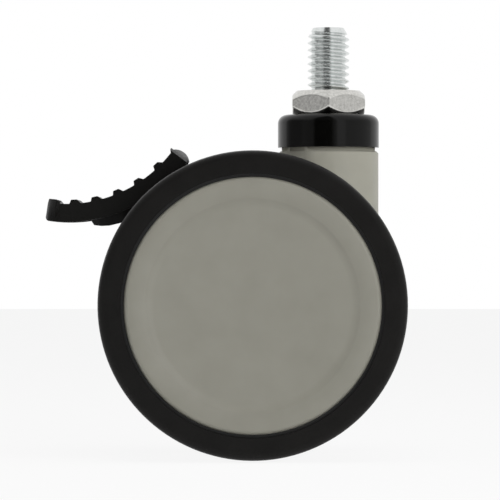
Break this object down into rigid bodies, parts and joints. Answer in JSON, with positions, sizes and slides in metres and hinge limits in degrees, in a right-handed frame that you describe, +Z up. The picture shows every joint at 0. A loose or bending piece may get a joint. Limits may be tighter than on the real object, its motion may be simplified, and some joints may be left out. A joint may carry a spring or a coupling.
{
  "type": "twin-wheel swivel castor with brake",
  "caption": "Twin-wheel swivel castor on a threaded stem, with a toe pedal that locks both wheels, for a bed, trolley or desk leg.",
  "frame": {"origin": "stem axis at the top (seating) face of the hexagon", "axes": "+Z up along the stem, +X away from the pedal (the wheels trail towards -X), +Y towards the left wheel"},
  "size_m": [0.0942, 0.065, 0.1129],
  "materials": {
    "zinc_plated_steel": "zinc plated, satin",
    "bearing_steel": "polished",
    "plain_steel": "bright drawn",
    "spring_steel": "blued",
    "grey_nylon": "smooth moulded, warm grey",
    "gloss_black_plastic": "gloss moulded",
    "black_nylon": "fine spark texture",
    "black_tread_rubber": "fine matte texture",
    "natural_acetal": "smooth moulded"
  },
  "bodies": {
    "stem": {"threaded_stem": "zinc_plated_steel", "stem_thrust_washer": "plain_steel", "stem_retaining_ring": "spring_steel", "swivel_bearing_inner_ring": "bearing_steel"},
    "housing": {"housing": "grey_nylon", "dust_cap": "gloss_black_plastic", "swivel_bearing_outer_ring": "bearing_steel", "swivel_bush": "natural_acetal", "boss_end_plug": "black_nylon", "axle": "plain_steel", "axle_washers": "plain_steel", "axle_retaining_rings": "spring_steel", "right_wheel_bearing_inner_ring": "bearing_steel", "left_wheel_bearing_inner_ring": "bearing_steel", "pedal_pin": "plain_steel", "brake_return_spring": "spring_steel"},
    "swivel_balls": {"swivel_bearing_balls": "bearing_steel", "swivel_bearing_cage": "natural_acetal"},
    "right_wheel": {"right_wheel_core": "black_nylon", "right_tyre": "black_tread_rubber", "right_cover_disc": "grey_nylon", "right_wheel_bearing_outer_ring": "bearing_steel"},
    "left_wheel": {"left_wheel_core": "black_nylon", "left_tyre": "black_tread_rubber", "left_cover_disc": "grey_nylon", "left_wheel_bearing_outer_ring": "bearing_steel"},
    "right_wheel_balls": {"right_wheel_bearing_balls": "bearing_steel", "right_wheel_bearing_cage": "natural_acetal"},
    "left_wheel_balls": {"left_wheel_bearing_balls": "bearing_steel", "left_wheel_bearing_cage": "natural_acetal"},
    "pedal": {"brake_pedal": "black_nylon"},
    "brake_bar": {"brake_bar": "plain_steel"}
  },
  "joints": [
    {"name": "swivel", "type": "hinge", "parent": "stem", "child": "housing", "pos_m": [0, 0, 0], "axis": [0, 0, 1], "continuous": true},
    {"name": "swivel_balls_roll", "type": "hinge", "parent": "stem", "child": "swivel_balls", "pos_m": [0, 0, -0.0115], "axis": [0, 0, 1], "continuous": true},
    {"name": "right_wheel_spin", "type": "hinge", "parent": "housing", "child": "right_wheel", "pos_m": [-0.02, 0, -0.0563], "axis": [0, 1, 0], "continuous": true},
    {"name": "right_wheel_balls_roll", "type": "hinge", "parent": "housing", "child": "right_wheel_balls", "pos_m": [-0.02, 0, -0.0563], "axis": [0, 1, 0], "continuous": true},
    {"name": "left_wheel_spin", "type": "hinge", "parent": "housing", "child": "left_wheel", "pos_m": [-0.02, 0, -0.0563], "axis": [0, 1, 0], "continuous": true},
    {"name": "left_wheel_balls_roll", "type": "hinge", "parent": "housing", "child": "left_wheel_balls", "pos_m": [-0.02, 0, -0.0563], "axis": [0, 1, 0], "continuous": true},
    {"name": "pedal_tilt", "type": "hinge", "parent": "housing", "child": "pedal", "pos_m": [-0.044, 0, -0.0345], "axis": [0, -1, 0], "range_deg": [0, 14]},
    {"name": "brake_bar_slide", "type": "slide", "parent": "housing", "child": "brake_bar", "axis": [0.9088, 0, -0.4172], "range_m": [0, 0.00239], "deforming": ["brake_return_spring"]}
  ],
  "couplings": [
    {"joint": "swivel_balls_roll", "follows": "swivel", "ratio": 0.582},
    {"joint": "right_wheel_balls_roll", "follows": "right_wheel_spin", "ratio": 0.6321},
    {"joint": "left_wheel_balls_roll", "follows": "left_wheel_spin", "ratio": 0.6321},
    {"joint": "brake_bar_slide", "follows": "pedal_tilt", "m_per_rad": 0.0097756}
  ]
}
